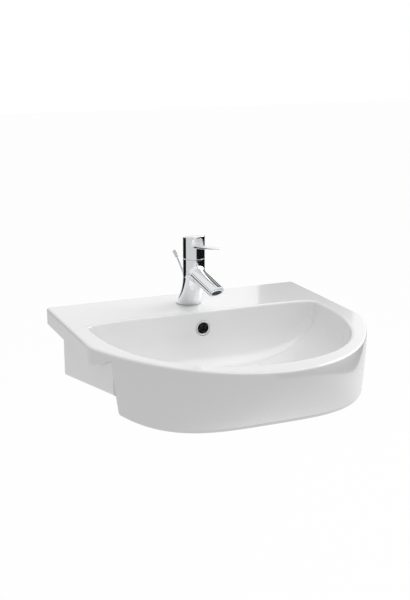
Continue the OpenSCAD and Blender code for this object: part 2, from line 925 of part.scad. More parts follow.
// Pivot rod with its ball, drawn level along y and then tilted to its rest angle
module pivot_rod() {
    inner = ball_out + 5;
    color(bright) on_deck()
        translate([0, ball_y, -pivot_d])
            rotate([-pivot_rest, 0, 0]) {
                sphere(d = ball_dia);
                rotate([-90, 0, 0])
                    translate([0, 0, -inner])
                        cylinder(h = inner + pivot_arm + 12, r = rod_r);
            }
}

port_r = 11;
port_end = ball_out + ball_dia / 2;
port_bore = ball_dia / 2 + free_gap;
nut_wall = 3.5;
nut_grip = 6;
seat_t = 2.2;
seat_proud = 0.6;
rod_swing = 2.2;
seat_bore_r = rod_r + 2.8;
port_floor = ball_out - ball_dia / 2 - 0.5;
module port_frame() {
    translate([0, waste_y, -pivot_d])
        rotate([-90, 0, 0])
            children();
}

module pivot_nut() {
    color(bright) on_deck()
        port_frame()
            difference() {
                translate([0, 0, port_end - nut_grip])
                    cylinder(h = nut_grip + nut_wall + seat_proud, r = port_r + nut_wall);
                translate([0, 0, port_end - nut_grip - 1])
                    cylinder(h = nut_grip + 1 + seat_proud, r = port_r + run_gap);
                translate([0, 0, port_end - nut_grip - 1])
                    cylinder(h = 2 * nut_grip + 2 * nut_wall, r = rod_r + rod_swing);
            }
}

module seat_ring(from, to) {
    color(white_plastic) on_deck()
        port_frame()
            translate([0, 0, from])
                difference() {
                    cylinder(h = to - from, r = port_bore - run_gap);
                    translate([0, 0, -1])
                        cylinder(h = to - from + 2, r = seat_bore_r);
                }
}

module seat_inner() {
    seat_ring(port_floor, port_floor + seat_t);
}

module seat_outer() {
    seat_ring(port_end - seat_t, port_end + seat_proud - 0.1);
}

module waste_body() {
    tail_end = seat_d + waste_len;
    color(bright) on_deck()
        difference() {
            union() {
                translate([0, waste_y, -tail_end])
                    cylinder(h = tail_free, d = tail_dia);
                translate([0, waste_y, -tail_end + tail_free - join])
                    cylinder(h = waste_len - tail_free - 3, r = waste_upper_r);
                port_frame()
                    cylinder(h = port_end, r = port_r);
            }
            translate([0, waste_y, -tail_end - 1])
                cylinder(h = waste_len + 4, r = waste_bore_r);
            port_frame()
                translate([0, 0, port_floor])
                    cylinder(h = 20, r = port_bore);
            port_frame()
                cylinder(h = port_end, r = seat_bore_r);
            translate([0, waste_y, -channel_floor])
                rotate([-90, 0, 0])
                    cylinder(h = 30, r = channel_dia / 2 - 1);
        }
}

flange_bore_r = 15;
flange_spigot = 9;
module waste_flange() {
    color(bright) on_deck()
        translate([0, waste_y, -seat_d + seal_t])
            rotate_extrude()
                polygon([[flange_bore_r, flange_t], [flange_bore_r, -flange_spigot],
                    [waste_bore_r - run_gap, -flange_spigot], [waste_bore_r - run_gap, 0],
                    [flange_dia / 2, 0], [flange_dia / 2, flange_t * 0.4], [flange_dia / 2 - 2, flange_t]]);
}

module flange_seal() {
    color(rubber_black) on_deck()
        translate([0, waste_y, -seat_d])
            difference() {
                cylinder(h = seal_t, r = flange_dia / 2 - 2);
                translate([0, 0, -1])
                    cylinder(h = seal_t + 2, r = waste_hole_dia / 2 - 4);
            }
}

plug_r = 17.5;
plug_base = -seat_d + seal_t + flange_t + plug_travel + 1;
stem_r = 4;
eye_h = 12;
module waste_plug() {
    color(bright) on_deck()
        translate([0, waste_y, 0])
            difference() {
                union() {
                    translate([0, 0, plug_base])
                        cylinder(h = 1.5, r = plug_r);
                    translate([0, 0, plug_base + 1.5 - join])
                        cylinder(h = 1.5, r1 = plug_r, r2 = plug_r - 4);
                    translate([0, 0, -eye_d])
                        cylinder(h = plug_base + eye_d + join, r = stem_r);
                    translate([-6, -3, -eye_d - eye_h / 2])
                        cube([12, 6, eye_h]);
                }
                translate([0, -10, -eye_d - 0.3])
                    rotate([-90, 0, 0])
                        cylinder(h = 20, r = rod_r + 0.8);
            }
}

module plug_seal() {
    color(rubber_black) on_deck()
        translate([0, waste_y, plug_base - 1])
            difference() {
                cylinder(h = 1, r = plug_r - 0.5);
                translate([0, 0, -1])
                    cylinder(h = 3, r = stem_r + run_gap);
            }
}

module under_washer() {
    color(rubber_black) on_deck()
        translate([0, waste_y, -boss_d - washer_t])
            difference() {
                cylinder(h = washer_t, r1 = boss_r - 11, r2 = boss_r - 6);
                translate([0, 0, -1])
                    cylinder(h = washer_t + 2, r = waste_upper_r + run_gap);
            }
}

module waste_backnut() {
    color(brass_tone) on_deck()
        translate([0, waste_y, -boss_d - washer_t - backnut_t])
            difference() {
                cylinder(h = backnut_t, r = boss_r - 11, $fn = 6);
                translate([0, 0, -1])
                    cylinder(h = backnut_t + 2, r = waste_upper_r);
            }
}

basin();
overflow_ring();
tap_gasket();
tap_body();
spout();
aerator_housing();
aerator_insert();
cartridge_body();
disc_fixed();
disc_moving();
stem_carrier();
cartridge_stem();
cartridge_nut();
dome_cover();
handle();
grub_screw();
indicator_plug();
fixing_stud();
horseshoe_gasket();
horseshoe_washer();
fixing_nut();
lift_rod();
lift_knob();
clevis_strap();
clevis_screw();
pivot_rod();
pivot_nut();
seat_inner();
seat_outer();
waste_flange();
flange_seal();
waste_body();
waste_plug();
plug_seal();
under_washer();
waste_backnut();
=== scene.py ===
import math

import bmesh
import bpy
import numpy as np
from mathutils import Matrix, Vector


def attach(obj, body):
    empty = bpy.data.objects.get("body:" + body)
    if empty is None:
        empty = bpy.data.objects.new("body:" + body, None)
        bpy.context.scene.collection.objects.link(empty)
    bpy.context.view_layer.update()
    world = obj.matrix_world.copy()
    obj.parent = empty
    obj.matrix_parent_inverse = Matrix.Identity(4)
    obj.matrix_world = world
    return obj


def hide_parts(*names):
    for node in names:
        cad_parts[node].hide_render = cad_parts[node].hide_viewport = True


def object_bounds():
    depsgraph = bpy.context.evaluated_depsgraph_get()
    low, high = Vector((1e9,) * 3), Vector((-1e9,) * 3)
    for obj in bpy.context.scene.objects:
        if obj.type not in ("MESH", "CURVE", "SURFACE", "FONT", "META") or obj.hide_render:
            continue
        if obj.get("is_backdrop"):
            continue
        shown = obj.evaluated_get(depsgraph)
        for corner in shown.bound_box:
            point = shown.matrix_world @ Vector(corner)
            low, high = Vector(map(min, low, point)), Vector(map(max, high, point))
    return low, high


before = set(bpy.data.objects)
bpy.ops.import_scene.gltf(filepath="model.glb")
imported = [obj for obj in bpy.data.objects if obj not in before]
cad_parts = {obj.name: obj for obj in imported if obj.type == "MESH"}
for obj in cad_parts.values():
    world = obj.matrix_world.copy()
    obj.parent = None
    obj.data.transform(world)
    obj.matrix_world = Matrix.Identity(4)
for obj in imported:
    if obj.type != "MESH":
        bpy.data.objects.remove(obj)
cad_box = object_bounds()

# Camera
# It stands to the left of the basin and a little above it, as the photographer's did.
# The place and the lens come from fitting the deck, the rim and the tap to the photograph.
camera_place = (-0.7834, -1.9906, 0.6525)
camera_turn, camera_dip = 23.18, 14.96
camera_lens, camera_sensor = 63.47, 36
camera = bpy.data.objects.new("camera", bpy.data.cameras.new("camera"))
camera.location = camera_place
camera.rotation_euler = (math.radians(90 - camera_dip), 0, -math.radians(camera_turn))
camera.data.sensor_width = camera_sensor
camera.data.lens = camera_lens
camera.data.clip_end = 60
bpy.context.scene.collection.objects.link(camera)
bpy.context.scene.camera = camera
bpy.context.scene.view_settings.view_transform = "Standard"

# Basin
# One casting of vitreous china: a flat deck and rim, a bowl, a rear body and a deeper front skirt.
# It is slip cast, glazed white all over but for the face against the wall, and hollow from below.
deck = 0.095
deck_half, rear_r, side_ease = 0.275, 0.006, 0.016
rim_half, rim_centre, front = 0.317, 0.043, 0.540
edge_r, rim_round = 0.004, 0.005
slab_t, lip_t = 0.034, 0.012
lip_from, lip_to = 0.285, 0.344
step = 0.343
bowl_half, bowl_front, bowl_wide, bowl_back = 0.241, 0.494, 0.189, 0.150
bowl_d, bowl_wall, bowl_curve = 0.112, 0.012, 2.6
waste = np.array([0.0, -0.225])
waste_y = waste[1]
waste_hole_r, boss_r, boss_d, boss_edge = 0.023, 0.039, 0.138, 0.002
body_half, body_corner = 0.250, 0.036
body_wall, skirt_wall = 0.016, 0.014
ray_centre = np.array([0.0, -0.285])


def around(sides):
    """Angles of a full round."""
    return np.linspace(0, 2 * math.pi, sides + 1)[:-1]


def quarter(steps, first=0):
    """Angles of a quarter round."""
    return np.radians(np.linspace(first, 90, steps))


def bent(a, corner, b, t):
    """A soft bend from one point to another round a corner."""
    return a * (1 - t) ** 2 + 2 * corner * t * (1 - t) + b * t ** 2


def unit(rows):
    """Directions, each made one long."""
    return rows / np.linalg.norm(rows, axis=1, keepdims=True)


def polyline(points, angles):
    """Points where rays from the basin's middle, at these angles, cross a closed outline."""
    points = np.asarray(points)
    turn = np.arctan2(points[:, 1] - ray_centre[1], points[:, 0] - ray_centre[0])
    order = np.argsort(turn)
    turn, points = turn[order], points[order]
    turn = np.concatenate([turn[-1:] - 2 * math.pi, turn, turn[:1] + 2 * math.pi])
    points = np.concatenate([points[-1:], points, points[:1]])
    return np.stack([np.interp(angles, turn, points[:, k]) for k in (0, 1)], 1)


def rear_corners(w, r, inset, steps):
    """The round rear corners, right and left, of an outline that stands off the wall."""
    corners = []
    for side, start in ((1, 0), (-1, 90)):
        q = np.radians(np.linspace(start, start + 90, steps))
        corners.append(np.stack([side * (w - r) + r * np.cos(q), -inset - r + r * np.sin(q)], 1))
    return corners


def deck_outline(inset):
    """The front ellipse and the square rear corners, drawn in by a distance."""
    a, b, w = rim_half - inset, front - rim_centre - inset, deck_half - inset
    turn = math.asin(w / a)
    t = np.linspace(-turn, turn, 1201)
    arc = np.stack([a * np.sin(t), -rim_centre - b * np.cos(t)], 1)
    meet = arc[-1]
    away = np.linalg.norm(arc - meet, axis=1)
    last = len(arc) - 1 - int(np.argmax(away[::-1] > side_ease))
    bend = bent(arc[last], meet, meet + [0, side_ease], np.linspace(0, 1, 41)[1:-1, None])
    side = np.stack([np.full(160, w), np.linspace(meet[1] + side_ease, -inset - rear_r, 160)], 1)
    right = np.concatenate([arc[len(arc) // 2:last + 1], bend, side])
    left = (right * [-1, 1])[::-1]
    back = np.stack([np.linspace(w - rear_r, rear_r - w, 240), np.full(240, -inset)], 1)
    corner_right, corner_left = rear_corners(w, rear_r, inset, 19)
    return np.concatenate([right, corner_right, back, corner_left, left[:-1]])


def bowl_outline(grow):
    """The bowl at the rim: a squared ellipse in front, a straight back with tight corners."""
    t = np.linspace(-math.pi, math.pi, 4001)[:-1]
    s, c = np.sin(t), np.cos(t)
    front_n, back_n = 2.25, 5.0
    a, b, back = bowl_half + grow, bowl_front - bowl_wide + grow, bowl_wide - bowl_back + grow
    n = np.where(c <= 0, front_n, back_n)
    x = a * np.sign(s) * np.abs(s) ** (2 / n)
    y = -bowl_wide + np.where(c <= 0, -b, back) * np.abs(c) ** (2 / n)
    return np.stack([x, y], 1)


def bowl_share(depth, grow=0.0):
    """How far the bowl has drawn in at a depth."""
    return max((1 - min(depth / (bowl_d + grow), 1) ** bowl_curve), 0) ** (1 / bowl_curve)


def bowl_level(q, deepest):
    """Depth of one level of the bowl, from 1 at the rim to 0 at the floor."""
    return deepest * math.sin(math.pi / 2 * (1 - q)) ** (2 / bowl_curve)


def level(outline, z):
    """An outline lifted to a height, or each of its points to a height of its own."""
    heights = np.broadcast_to(np.asarray(z, float).reshape(-1, 1), (len(outline), 1))
    return np.concatenate([outline, heights], 1)


def loft(name, rings, wrap=False):
    """A closed mesh through rings of equal length: wrapped round like a tyre, or capped at both ends."""
    n, m = len(rings[0]), len(rings)
    points = np.concatenate(rings)
    faces = []
    for i in range(m if wrap else m - 1):
        a, b = i * n, ((i + 1) % m) * n
        faces += [(a + j, a + (j + 1) % n, b + (j + 1) % n, b + j) for j in range(n)]
    if not wrap:
        faces += [tuple(range(n))[::-1], tuple((m - 1) * n + j for j in range(n))]
    mesh = bpy.data.meshes.new(name)
    mesh.from_pydata(points.tolist(), [], faces)
    mesh.validate()
    piece = bpy.data.objects.new(name, mesh)
    bpy.context.scene.collection.objects.link(piece)
    return piece


def outward(piece):
    """Turns a closed mesh's faces outwards."""
    work = bmesh.new()
    work.from_mesh(piece.data)
    bmesh.ops.remove_doubles(work, verts=work.verts, dist=1e-6)
    bmesh.ops.recalc_face_normals(work, faces=work.faces)
    work.to_mesh(piece.data)
    work.free()
    return piece


def apply_all(piece):
    """Makes the result of a piece's modifiers its mesh."""
    bpy.context.view_layer.update()
    made = bpy.data.meshes.new_from_object(piece.evaluated_get(bpy.context.evaluated_depsgraph_get()))
    piece.modifiers.clear()
    old, piece.data = piece.data, made
    bpy.data.meshes.remove(old)
    return piece


def carve(piece, tool, how="DIFFERENCE"):
    """Cuts a tool from a piece, or joins it on, and removes the tool."""
    cut = piece.modifiers.new(how.lower(), "BOOLEAN")
    cut.operation, cut.solver, cut.object = how, "MANIFOLD", tool
    apply_all(piece)
    bpy.data.objects.remove(tool)
    return piece


def soften(piece, crease=35):
    """Smooth shading that keeps flats flat and leaves the real creases sharp."""
    piece.data.polygons.foreach_set("use_smooth", [True] * len(piece.data.polygons))
    piece.data.set_sharp_from_angle(angle=math.radians(crease))
    even = piece.modifiers.new("even normals", "WEIGHTED_NORMAL")
    even.keep_sharp = True
    apply_all(piece)
    return piece


def rod(name, r, start, end, sides=64):
    """A plain round tool between two points, for cutting holes."""
    start, end = Vector(start), Vector(end)
    along = (end - start).normalized()
    across = along.orthogonal().normalized()
    other = along.cross(across)
    rings = [np.array([list(p + r * (math.cos(t) * across + math.sin(t) * other)) for t in around(sides)])
             for p in (start, end)]
    return outward(loft(name, rings))


def block(name, low, high):
    """A plain box tool between two corners, for cutting pockets."""
    corners = np.array([[low[0], low[1]], [high[0], low[1]], [high[0], high[1]], [low[0], high[1]]])
    return outward(loft(name, [level(corners, low[2]), level(corners, high[2])]))


rear_corner, side_corner = (deck_half, 0.0), (deck_half, -0.2903)
bowl_corner, lip_end = (0.235, -0.155), (0.2522, -lip_to)
turns = [np.arange(-180, 180, 0.75)]
for side in (1, -1):
    for corner, reach, gap in ((rear_corner, 2.0, 0.12), (bowl_corner, 12.0, 0.3), (side_corner, 4.0, 0.2),
                               (lip_end, 0.10, 0.05)):
        middle = math.degrees(math.atan2(corner[1] - ray_centre[1], side * corner[0] - ray_centre[0]))
        turns.append(np.arange(middle - reach, middle + reach, gap))
angles = np.unique(np.round(np.radians((np.concatenate(turns) + 180) % 360 - 180), 7))

inner = polyline(bowl_outline(0), angles)
outer_shell = polyline(bowl_outline(bowl_wall), angles)
circle = unit(inner - waste)
rings = [level(waste + waste_hole_r * circle, deck - depth) for depth in (boss_d, bowl_d)]
floor_share, wall_start = 0.12, rim_round * 1.2
for k in (0.5, 1.0):
    plan = waste + waste_hole_r * circle * (1 - k) + (inner - waste) * floor_share * k
    rings.append(level(plan, deck - bowl_d))
for q in np.linspace(0.06, 1, 44):
    depth = bowl_level(q, bowl_d - wall_start) + wall_start
    rings.append(level(waste + (inner - waste) * max(bowl_share(depth), floor_share), deck - depth))
away = unit(inner - ray_centre)
wall_share = bowl_share(wall_start)
for q in quarter(9, 10):
    plan = waste + (inner - waste) * wall_share + away * rim_round * (1 - math.cos(q))
    rings.append(level(plan, deck - rim_round * (1 - math.sin(q))))
top_inner = rings[-1][:, :2]
top_outer = polyline(deck_outline(edge_r), angles)
for k in (0.03, 0.5, 0.97):
    rings.append(level(top_inner + (top_outer - top_inner) * k, deck))
for q in quarter(7):
    plan = polyline(deck_outline(edge_r * (1 - math.sin(q))), angles)
    rings.append(level(plan, deck - edge_r * (1 - math.cos(q))))
outer = polyline(deck_outline(0), angles)
behind = outer[:, 1] > -lip_to
lip_share = np.clip((-outer[:, 1] - lip_from) / (lip_to - lip_from), 0, 1)
lip_share = lip_share ** 2 * (3 - 2 * lip_share)
lower = slab_t + (lip_t - slab_t) * lip_share
under_ease, ceiling, least_room, front_gap = 0.0015, 0.024, 0.003, 0.003
rings.append(level(outer, deck - lower + under_ease))
eased_outer = polyline(deck_outline(under_ease), angles)
rings.append(level(np.where(behind[:, None], eased_outer, outer), deck - lower))

body_mid, back_mid = body_half - body_wall / 2, -body_wall / 2
mids = [(body_mid, -step), (body_mid, back_mid), (-body_mid, back_mid), (-body_mid, -step)]
sides = np.concatenate([np.linspace(mids[k], mids[k + 1], 400) for k in range(3)])
front_mid = deck_outline(skirt_wall / 2)
front_mid = front_mid[front_mid[:, 1] < -step - front_gap]
wall_middle = polyline(np.concatenate([sides, front_mid]), angles)


def shell_at(depths):
    """The bowl's outer face, each ray at a depth of its own."""
    share = np.array([bowl_share(d, bowl_wall) for d in depths])[:, None]
    return np.concatenate([waste + (outer_shell - waste) * share, (deck - depths)[:, None]], 1)


under = shell_at(np.full(len(angles), ceiling))[:, :2]
room_left = np.linalg.norm(wall_middle - ray_centre, axis=1) - np.linalg.norm(under - ray_centre, axis=1)
hollow = room_left > least_room
start = np.where(hollow, ceiling, slab_t)
first = shell_at(start)
for z in (deck - lower, deck - start):
    rings.append(level(np.where(hollow[:, None], wall_middle, first[:, :2]), z))
rings.append(first)
for q in np.linspace(1, 0.02, 26):
    depth = bowl_level(q, bowl_d + bowl_wall)
    if depth > ceiling + 0.001:
        ring = shell_at(np.maximum(depth, start))
        reach = np.linalg.norm(ring[:, :2] - waste, axis=1)[:, None]
        least = boss_r * (1 + 0.1 * q)
        ring[:, :2] = waste + (ring[:, :2] - waste) * np.maximum(reach, least) / reach
        rings.append(ring)
circle = unit(outer_shell - waste)
boss_start = bowl_d + bowl_wall + 0.0005
for r, depth in ((boss_r, boss_start), (boss_r, boss_d - boss_edge), (boss_r - boss_edge, boss_d)):
    rings.append(level(waste + r * circle, deck - depth))
basin = outward(loft("basin_glazed", rings, wrap=True))

rear_depth, step_depth = 0.142, 0.076
foot, wall_top = 0.005, deck - 0.010
outer_end, inner_end = -step - 0.001, -step + 0.004


def body_outline(inset, front_y):
    """Rear body seen from above, with round rear corners, drawn in by a distance."""
    w, r = body_half - inset, max(body_corner - inset, 0.012)
    side = np.linspace(front_y + 0.01, -inset - r - 0.002, 30)
    right, left = (np.stack([np.full(30, x), side], 1) for x in (w, -w))
    return np.concatenate([[[-w, front_y], [w, front_y]], right, *rear_corners(w, r, inset, 17), left[::-1]])


def body_foot(inset, end, lift):
    """One ring of the rear body's lower edge, which rises towards the step."""
    ring = body_outline(inset, end)
    edge = deck - rear_depth + (rear_depth - step_depth) * (-ring[:, 1] / step)
    return level(ring, edge + lift)


walls = [level(body_outline(0, outer_end), wall_top)]
walls += [body_foot(foot * (1 - math.cos(q)), outer_end, foot * (1 - math.sin(q))) for q in quarter(6)]
walls += [body_foot(body_wall - foot * (1 - math.cos(q)), inner_end, foot * (1 - math.sin(q)))
          for q in quarter(6)[::-1]]
walls.append(level(body_outline(body_wall, inner_end), wall_top))
rear_body = outward(loft("rear_body", walls, wrap=True))

skirt_d, skirt_half, skirt_front, skirt_n = 0.125, 0.268, 0.463, 3.6
skirt_curve, skirt_round, skirt_ease, inner_ease = 1.5, 0.006, 0.005, 0.003
skirt_fall, step_round = math.radians(6), 0.013
skirt_face = skirt_d - skirt_round - lip_t


def skirt_ring(depth, inset, back_y):
    """Skirt seen from above at a depth: the front curve, two softened corners and a straight back."""
    corner = 0.0008 + 0.0032 * min(max((depth - slab_t) / 0.04, 0), 1)
    drawn = max((min(depth, skirt_d - skirt_round) - lip_t) / skirt_face, 0) ** skirt_curve
    ends = []
    for a, b, n in ((rim_half - inset, front - rim_centre - inset, 2.0),
                    (skirt_half - inset, skirt_front - rim_centre - inset, skirt_n)):
        turn = math.acos(((-back_y - rim_centre) / b) ** (n / 2))
        t = turn * np.linspace(-1, 1, 321)
        x = a * np.sign(t) * np.abs(np.sin(t)) ** (2 / n)
        ends.append(np.stack([x, -rim_centre - b * np.cos(t) ** (2 / n)], 1))
    arc = ends[0] + (ends[1] - ends[0]) * drawn
    run = np.concatenate([[0], np.cumsum(np.linalg.norm(np.diff(arc, axis=0), axis=1))])
    close = 0.12
    at = np.concatenate([np.linspace(corner, close, 40), np.linspace(close, run[-1] - close, 160)[1:-1],
                         np.linspace(run[-1] - close, run[-1] - corner, 40)])
    front_arc = np.stack([np.interp(at, run, arc[:, k]) for k in (0, 1)], 1)
    right, left = arc[-1] - [corner, 0], arc[0] + [corner, 0]
    back = np.stack([np.linspace(right[0], left[0], 20), np.full(20, right[1])], 1)
    t = np.linspace(0, 1, 9)[1:-1, None]
    return np.concatenate([front_arc, bent(front_arc[-1], arc[-1], right, t), back,
                           bent(left, arc[0], front_arc[0], t)])


def skirt_level(depth, inset, back_y, lift=0.0):
    """One level of the skirt: the lower it lies, the more it falls towards the front."""
    share = min(max((depth - lip_t) / skirt_face, 0), 1)
    ring = skirt_ring(depth, inset, back_y)
    return level(ring, deck - depth + lift + share * math.tan(skirt_fall) * (ring[:, 1] + skirt_front))


inner_back, tuck = -step - skirt_wall, 0.004
skirt = [skirt_level(lip_t, 0.0003, -step, tuck), skirt_level(lip_t, 0.00005, -step, 0.0002)]
for depth in np.linspace(lip_t + 0.001, skirt_d - skirt_round, 26):
    skirt.append(skirt_level(depth, 0, -step))
for q in quarter(6, 15):
    skirt.append(skirt_level(skirt_d, skirt_ease * (1 - math.cos(q)), -step, skirt_round * (1 - math.sin(q))))
for q in quarter(5, 15)[::-1]:
    inset = skirt_wall - inner_ease * (1 - math.cos(q))
    skirt.append(skirt_level(skirt_d, inset, inner_back, inner_ease * (1 - math.sin(q))))
for depth in np.linspace(skirt_d - skirt_round, ceiling, 12):
    skirt.append(skirt_level(depth, skirt_wall, inner_back))
skirt.append(skirt_level(ceiling, skirt_wall, inner_back, tuck))
skirt = outward(loft("skirt", skirt, wrap=True))

step_z = deck - skirt_d + math.tan(skirt_fall) * (skirt_front - step)
mid_y, mid_z = -step - step_round, step_z + step_round * (1 - math.sin(skirt_fall)) / math.cos(skirt_fall)
foot_y, foot_z = -step - step_round * (1 - math.sin(skirt_fall)), mid_z - step_round * math.cos(skirt_fall)
past_y, past_z = -step + 0.002, deck - skirt_d - 0.002
profile = [(mid_y, mid_z), (past_y, mid_z), (past_y, past_z), (foot_y, past_z), (foot_y, foot_z)]
below = outward(loft("below", [np.array([(x, y, z) for y, z in profile]) for x in (-0.32, 0.32)]))
carve(below, rod("round", step_round, (-0.33, mid_y, mid_z), (0.33, mid_y, mid_z), 128))
carve(skirt, below)

channel_half, channel_back, channel_top = 0.014, -0.110, deck - 0.104
riser_front, riser_top = -0.150, deck - 0.014
channel = block("channel", (-channel_half, waste_y, deck - boss_d), (channel_half, channel_back, channel_top))
riser = block("riser", (-channel_half, riser_front, deck - boss_d), (channel_half, channel_back, riser_top))
carve(channel, riser, "UNION")
bowl_mid = polyline(bowl_outline(bowl_wall / 2), angles)
space = []
for q in np.linspace(0.04, 1, 26):
    depth = bowl_level(q, bowl_d + bowl_wall / 2)
    share = max(bowl_share(depth, bowl_wall / 2), floor_share)
    space.append(level(waste + (bowl_mid - waste) * share, deck - depth))
space.append(level(bowl_mid, deck + 0.01))
space = outward(loft("bowl_space", space))
for part in (rear_body, skirt, channel):
    spare = space.copy()
    spare.data = space.data.copy()
    bpy.context.scene.collection.objects.link(spare)
    carve(part, spare)
    carve(basin, part, "UNION")
bpy.data.objects.remove(space)

overflow_at, overflow_r, ring_y = deck - 0.034, 0.012, -0.151
pocket_half, pocket_front, pocket_back = 0.234, -0.122, -0.016
pocket_floor, pocket_roof, lane_half = deck - 0.026, deck - 0.015, 0.015
for left, right, front_y in (
        (-pocket_half, -channel_half, pocket_front),
        (channel_half, pocket_half, pocket_front),
        (-lane_half, lane_half, channel_back)):
    carve(basin, block("pocket", (left, front_y, pocket_floor), (right, pocket_back, pocket_roof)))
passage_r, passage_y, passage_floor = 0.006, -0.122, deck - 0.125
waste_top, tap_y, tap_hole_r = deck - bowl_d, -0.077, 0.0175
flange_seat_r, ring_seat_r, ring_seat_back = 0.0318, 0.0153, -0.170
for name, r, start, end in (
        ("overflow", overflow_r, (0, -0.165, overflow_at), (0, passage_y, overflow_at)),
        ("fall", passage_r, (0, passage_y, passage_floor), (0, passage_y, overflow_at)),
        ("run", passage_r, (0, passage_y + 0.004, passage_floor), (0, waste_y, passage_floor)),
        ("waste hole", waste_hole_r, (0, waste_y, deck - boss_d - 0.01), (0, waste_y, waste_top + 0.002)),
        ("flange seat", flange_seat_r, (0, waste_y, waste_top), (0, waste_y, waste_top + 0.014)),
        ("ring seat", ring_seat_r, (0, ring_seat_back, overflow_at), (0, ring_y, overflow_at)),
        ("tap hole", tap_hole_r, (0, tap_y, deck - 0.03), (0, tap_y, deck + 0.01))):
    carve(basin, rod(name, r, start, end))
stud_half, stud_hole_r, stud_deep = 0.14, 0.0065, 0.03
for side in (-1, 1):
    at = side * stud_half
    carve(basin, rod("stud hole", stud_hole_r, (at, -stud_deep, 0), (at, 0.01, 0)))
outward(basin)
soften(basin, 38)


class Value:
    """A shader value: arithmetic on it adds Math nodes, also with a number on the left."""

    def __init__(self, finish, socket):
        self.finish, self.socket = finish, socket

    def math(self, operation, a, b):
        return self.finish.node("Math", {"operation": operation}, {0: a, 1: b})

    def __add__(self, other):
        return self.math("ADD", self, other)

    def __sub__(self, other):
        return self.math("SUBTRACT", self, other)

    def __rsub__(self, other):
        return self.math("SUBTRACT", other, self)

    def __mul__(self, other):
        return self.math("MULTIPLY", self, other)

    def __gt__(self, other):
        return self.math("GREATER_THAN", self, other)

    __radd__ = __add__


class Finish:
    """A procedural material, or the room's light: node() adds any node, coat() fills the shader's sockets."""

    def __init__(self, name, holder=None):
        self.material = holder or bpy.data.materials.new(name)
        self.material.use_nodes = True
        self.tree = self.material.node_tree
        self.shader = self.tree.nodes.get("Principled BSDF") or self.tree.nodes["Background"]

    def node(self, kind, settings, inputs, output=0):
        made = self.tree.nodes.new("ShaderNode" + kind)
        for key, value in settings.items():
            setattr(made, key, value)
        for key, value in inputs.items():
            self.feed(made.inputs[key], value)
        return Value(self, made.outputs[output])

    def feed(self, socket, value):
        if isinstance(value, Value):
            self.tree.links.new(value.socket, socket)
        elif socket.type == "RGBA":
            socket.default_value = (*value, 1)
        else:
            socket.default_value = value

    def coat(self, **sockets):
        for key, value in sockets.items():
            self.feed(self.shader.inputs[key.replace("_", " ")], value)

    def place(self):
        return self.node("TexCoord", {}, {}, "Object")

    def along(self, axis):
        return self.node("SeparateXYZ", {}, {"Vector": self.place()}, axis)

    def noise(self, scale, detail=2.0):
        return self.node("TexNoise", {}, {"Vector": self.place(), "Scale": scale, "Detail": detail})

    def mixed(self, share, a, b):
        return self.node("Mix", {"data_type": "RGBA"}, {0: share, 6: a, 7: b}, 2)

    def bump(self, height, strength, distance, edge=0.0, samples=4):
        """Fine relief, over edges that catch the light as if rounded where a radius is given."""
        inputs = {"Height": height, "Strength": strength, "Distance": distance}
        if edge:
            inputs["Normal"] = self.node("Bevel", {"samples": samples}, {"Radius": edge})
        return self.node("Bump", {}, inputs)


glaze = Finish("white_glaze")
across, depth_y, height = (glaze.along(axis) for axis in "XYZ")
wall_face, dark_r, dark_front, dark_back = -0.0006, 0.0126, -0.1485, -0.10
bare = depth_y > wall_face
off_axis = across * across + (height - overflow_at) * (height - overflow_at)
# Painted shade: inside the overflow passage, behind the ring, the glaze colour is near-black and stands for
# the shade deep in the hole.
passage_shade_mask = (1 - (off_axis > dark_r ** 2)) * (depth_y > dark_front) * (1 - (depth_y > dark_back))
white, fired_clay, painted_passage_shade = (0.875, 0.876, 0.873), (0.72, 0.69, 0.63), (0.10, 0.095, 0.085)
glazed = glaze.mixed(glaze.noise(7.0, 3.0), (0.845, 0.847, 0.845), white)
ripple = glaze.noise(38.0, 1.5) * 0.7 + glaze.noise(160.0, 1.0) * 0.3
glaze.coat(
    Base_Color=glaze.mixed(passage_shade_mask, glaze.mixed(bare, glazed, fired_clay), painted_passage_shade),
    Roughness=0.16 + glaze.noise(18.0) * 0.06 + bare * 0.5,
    Coat_Weight=(1 - bare) * 0.6,
    Coat_Roughness=0.05,
    Normal=glaze.bump(ripple, 0.10, 0.0006, edge=0.0022, samples=6),
)
basin.data.materials.clear()
basin.data.materials.append(glaze.material)
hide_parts("basin")
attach(basin, "base")

# Overflow ring
# A pressed brass ring, chromed and brushed, with a short sleeve that is pushed into the overflow hole.
# Its face stands two millimetres off the bowl's back wall and has a rounded edge.
def eased(corners, steps=6):
    """A turned outline: each corner is (radius, height, easing), and an easing rounds the corner off."""
    rows = []
    for k, (r, h, ease) in enumerate(corners):
        here = np.array([r, h])
        if not ease:
            rows.append(here)
            continue
        before, after = (np.array(corners[(k + d) % len(corners)][:2]) for d in (-1, 1))
        a = here + (before - here) / np.linalg.norm(before - here) * ease
        b = here + (after - here) / np.linalg.norm(after - here) * ease
        rows += [bent(a, here, b, t) for t in np.linspace(0, 1, steps + 1)]
    return rows


def turned(name, outline, foot, along, sides=96, wrap=True):
    """A piece turned on a lathe, standing at a foot point with its axis in a direction."""
    along = Vector(along).normalized()
    across = along.orthogonal().normalized()
    other = along.cross(across)
    wheel = np.outer(np.cos(around(sides)), across) + np.outer(np.sin(around(sides)), other)
    rings = [np.array(foot) + r * wheel + h * np.array(along) for r, h in outline]
    return outward(loft(name, rings, wrap))


def dress(piece, finish, node, body, crease=40):
    """Smooths a piece, gives it its finish and sets it in place of its solid."""
    outward(piece)
    soften(piece, crease)
    piece.data.materials.clear()
    piece.data.materials.append(finish.material)
    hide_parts(node)
    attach(piece, body)


